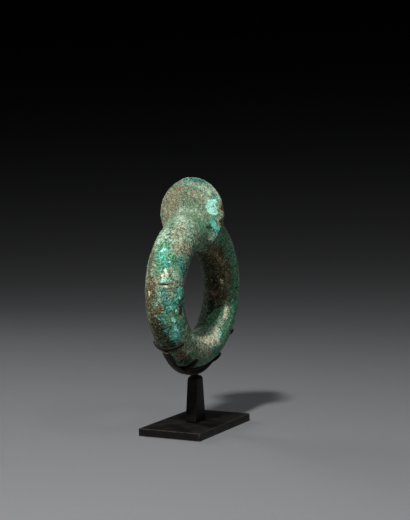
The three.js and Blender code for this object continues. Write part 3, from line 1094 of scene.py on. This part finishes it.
def make_bronze_material():
    material, tree, shader, place = new_material("buried_bronze")

    def share(mask, amount):
        return math_of(tree, "MULTIPLY", mask, amount)

    def grown(name):
        """What the mesh says of each point: how thick a mineral is there, with some painted shade and one
        painted glint, or how calm or pitted the skin.
        """
        return add_node(tree, "Attribute", attribute_name=name, attribute_type="GEOMETRY").outputs["Fac"]

    def patches(size, level, variety, broken, edge, favour=0.0):
        inputs = {
            "Place": place,
            "Size": size,
            "Favour": favour,
            "Level": level,
            "Edge": edge,
            "Break": broken,
            "Variety": variety,
        }
        return use_group(tree, ragged_patches, inputs)["Mask"]

    colour = layer(tree, patches(12.0, 0.50, 1.0, 1.2, 0.14), olive_ground, sage_ground)
    masks = {}
    for name, mineral, size, level, variety, favour, broken, edge, cover in mineral_layers:
        mask = patches(size, level, variety, broken, edge, share(grown(name), favour))
        masks[mineral] = mask
        colour = layer(tree, share(mask, cover), colour, mineral)
    oxide = masks[brown_oxide]
    bare_of_grains = ramp(tree, masks[dark_oxide_and_shade], 0.0, 1.0, 1.0, 0.15)

    grains = use_group(tree, mineral_grains, {"Place": place, "Size": 1.0})
    small = use_group(tree, fine_grain, {"Place": place, "Size": 0.7, "Variety": 22.0})
    coarse = use_group(tree, fine_grain, {"Place": place, "Size": 1.9, "Variety": 31.0})
    calm = grown("calm")
    lively = ramp(tree, calm, 0.0, 1.0, 1.0, 0.35)
    warm = math_of(tree, "MULTIPLY", share(grains["Warm"], 0.22), lively)
    colour = layer(tree, warm, colour, tan_earth)
    cool = math_of(tree, "MULTIPLY", grains["Cool"], ramp(tree, oxide, 0.0, 1.0, 0.32, 0.04))
    cool = math_of(tree, "MULTIPLY", cool, bare_of_grains)
    colour = layer(tree, math_of(tree, "MULTIPLY", cool, lively), colour, turquoise_mineral)
    dark_grains = math_of(tree, "MULTIPLY", share(grains["Dark"], 0.55), lively)
    colour = layer(tree, dark_grains, colour, dark_oxide_and_shade)
    frost = math_of(tree, "MULTIPLY", ramp(tree, coarse["Grain"], 0.66, 0.98, 0.0, 0.42), bare_of_grains)
    colour = layer(tree, frost, colour, pale_bloom)
    mixed = math_of(tree, "ADD", share(small["Grain"], 0.45), share(coarse["Grain"], 0.25))
    speckle = math_of(tree, "ADD", share(grains["Light"], 0.30), mixed)
    light = ramp(tree, speckle, 0.16, 0.84, 0.20, 2.06)
    light_colour = add_node(tree, "CombineColor", {0: light, 1: light, 2: light}).outputs[0]
    colour = layer(tree, ramp(tree, calm, 0.0, 1.0, 1.0, 0.66), colour, light_colour, "MULTIPLY")
    hollows = ramp(tree, add_node(tree, "NewGeometry").outputs["Pointiness"], 0.50, 0.42)
    colour = layer(tree, share(hollows, 0.6), colour, dark_oxide_and_shade)
    specks = math_of(tree, "MULTIPLY", small["Specks"], patches(5.0, 0.48, 13.0, 0.8, 0.1))
    colour = layer(tree, share(specks, 0.75), colour, dark_oxide_and_shade)
    colour = layer(tree, grown("pits"), colour, pit_dark)
    tree.links.new(colour, shader.inputs["Base Color"])

    dull = math_of(tree, "ADD", ramp(tree, oxide, 0.0, 1.0, 0.84, 0.62), share(small["Grain"], 0.12))
    tree.links.new(dull, shader.inputs["Roughness"])
    shader.inputs["Specular IOR Level"].default_value = 0.26
    relief = math_of(tree, "ADD", share(grains["Height"], 0.6), share(small["Grain"], 0.4))
    tree.links.new(bump(tree, relief, 0.32 * mm), shader.inputs["Normal"])
    return material


make_bracelet()


# Floor, light and camera
# A plain pale sheet that sweeps up far behind into the dark. A small lamp high on the left throws the shadow
# to the right. A weaker one stands in front, a wide one hangs overhead and a weak wide one is behind.

paper_grey = (0.234, 0.240, 0.252, 1)
paper_dark = (0.193, 0.197, 0.206, 1)
# How far from the stand each ring of the sheet lies, and how high: it is flat, then sweeps up.
sweep = (
    (0.35, 0),
    (0.8, 0),
    (1.2, 0),
    (1.6, 0.02),
    (2.0, 0.06),
    (2.6, 0.15),
    (3.4, 0.3),
    (4.6, 0.55),
    (6.4, 0.95),
    (9.5, 1.8),
)
view_turn = math.radians(26.56)  # of the view from the ring's plane towards the front
look_down = math.radians(4.27)
camera_roll = math.radians(-0.616)
camera_place = Vector((-0.85434, -0.43600, 0.19295))
focal_length = 93.32


def make_backdrop():
    spokes = 48
    vertices = [(0.0, 0.0, 0.0)]
    for radius, height in sweep:
        for k in range(spokes):
            turn = 2 * math.pi * k / spokes
            vertices.append((radius * math.cos(turn), radius * math.sin(turn), height))
    faces = [(0, 1 + k, 1 + (k + 1) % spokes) for k in range(spokes)]
    for r in range(len(sweep) - 1):
        for k in range(spokes):
            a = 1 + r * spokes + k
            b = 1 + r * spokes + (k + 1) % spokes
            faces.append((a, a + spokes, b + spokes, b))
    mesh = bpy.data.meshes.new("backdrop")
    mesh.from_pydata([tuple(v) for v in vertices], [], faces)
    mesh.polygons.foreach_set("use_smooth", [True] * len(mesh.polygons))
    material, tree, shader, place = new_material("pale_paper")
    fibre = use_group(tree, fine_grain, {"Place": place, "Size": 1.2, "Variety": 40.0})["Grain"]
    paper = layer(tree, ramp(tree, fibre, 0.0, 1.0, 0.0, 0.3), paper_grey, paper_dark)
    tree.links.new(paper, shader.inputs["Base Color"])
    shader.inputs["Roughness"].default_value = 0.85
    shader.inputs["Specular IOR Level"].default_value = 0.2
    mesh.materials.append(material)
    sheet = bpy.data.objects.new("backdrop", mesh)
    bpy.context.scene.collection.objects.link(sheet)


def add_lamp(name, place, target, width, power, colour, spread=180):
    data = bpy.data.lights.new(name, "AREA")
    data.size = width
    data.energy = power
    data.color = colour
    data.spread = math.radians(spread)
    lamp = bpy.data.objects.new(name, data)
    lamp.location = place
    lamp.visible_camera = False
    lamp.rotation_euler = (Vector(target) - Vector(place)).to_track_quat("-Z", "Y").to_euler()
    bpy.context.scene.collection.objects.link(lamp)


def add_camera():
    data = bpy.data.cameras.new("main_view")
    data.lens = focal_length
    camera = bpy.data.objects.new("main_view", data)
    flat = math.cos(look_down)
    backward = Vector((-math.cos(view_turn) * flat, -math.sin(view_turn) * flat, math.sin(look_down)))
    camera.rotation_mode = "QUATERNION"
    camera.rotation_quaternion = backward.to_track_quat("Z", "Y") @ Quaternion((0, 0, 1), camera_roll)
    camera.location = camera_place
    bpy.context.scene.collection.objects.link(camera)
    bpy.context.scene.camera = camera


make_backdrop()
ring_middle = (0, 0, ring_middle_z)
add_lamp("key_lamp", (-0.767, -0.088, 1.06), (-0.35, -0.10, 0), 0.11, 9.1, (1.0, 0.99, 0.97), 138)
add_lamp("side_lamp", (-0.12, -0.73, 1.10), ring_middle, 0.20, 1.2, (0.97, 0.99, 1.0))
add_lamp("overhead_lamp", (-0.1, -0.1, 1.15), (0, 0, 0), 0.90, 0.3, (0.97, 0.99, 1.0))
add_lamp("back_lamp", (0.40, 1.20, 0.52), ring_middle, 0.50, 0.45, (0.98, 0.99, 1.0), 45)
world = bpy.data.worlds.new("studio")
world.use_nodes = True
world.node_tree.nodes["Background"].inputs["Color"].default_value = (0.001, 0.001, 0.001, 1)
world.node_tree.nodes["Background"].inputs["Strength"].default_value = 1.0
bpy.context.scene.world = world
bpy.context.scene.view_settings.view_transform = "Standard"
add_camera()
